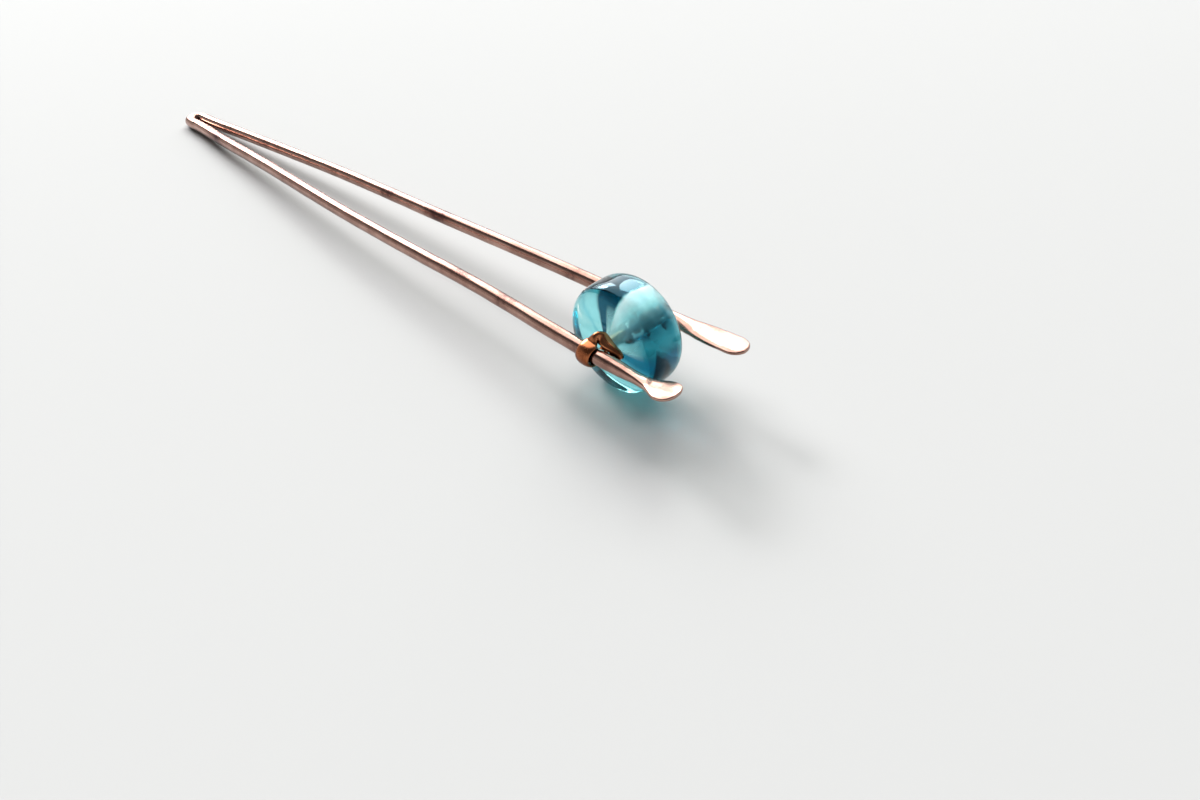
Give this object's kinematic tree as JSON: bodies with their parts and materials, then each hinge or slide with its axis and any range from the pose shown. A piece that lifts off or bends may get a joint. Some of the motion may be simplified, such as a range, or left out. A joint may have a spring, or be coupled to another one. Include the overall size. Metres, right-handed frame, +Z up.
{
  "type": "hair fork",
  "caption": "Hair fork of folded copper wire, its ends hammered into flat paddles, with a clear aqua glass bead wired between the prongs.",
  "frame": {"origin": "on the surface that the fork rests on, under the middle of the whole object's box", "axes": "+X from the bend towards the hammered tips, +Y across the prongs along the bead's hole, +Z up"},
  "size_m": [0.1298, 0.0169, 0.0152],
  "materials": {
    "fork_copper": "polished copper with a light brown patina",
    "aqua_glass": "clear polished glass, aqua blue",
    "binding_copper": "bright copper, more orange than the fork"
  },
  "bodies": {
    "root": {"fork_wire": "fork_copper", "bead": "aqua_glass", "binding_wire": "binding_copper"}
  },
  "joints": []
}
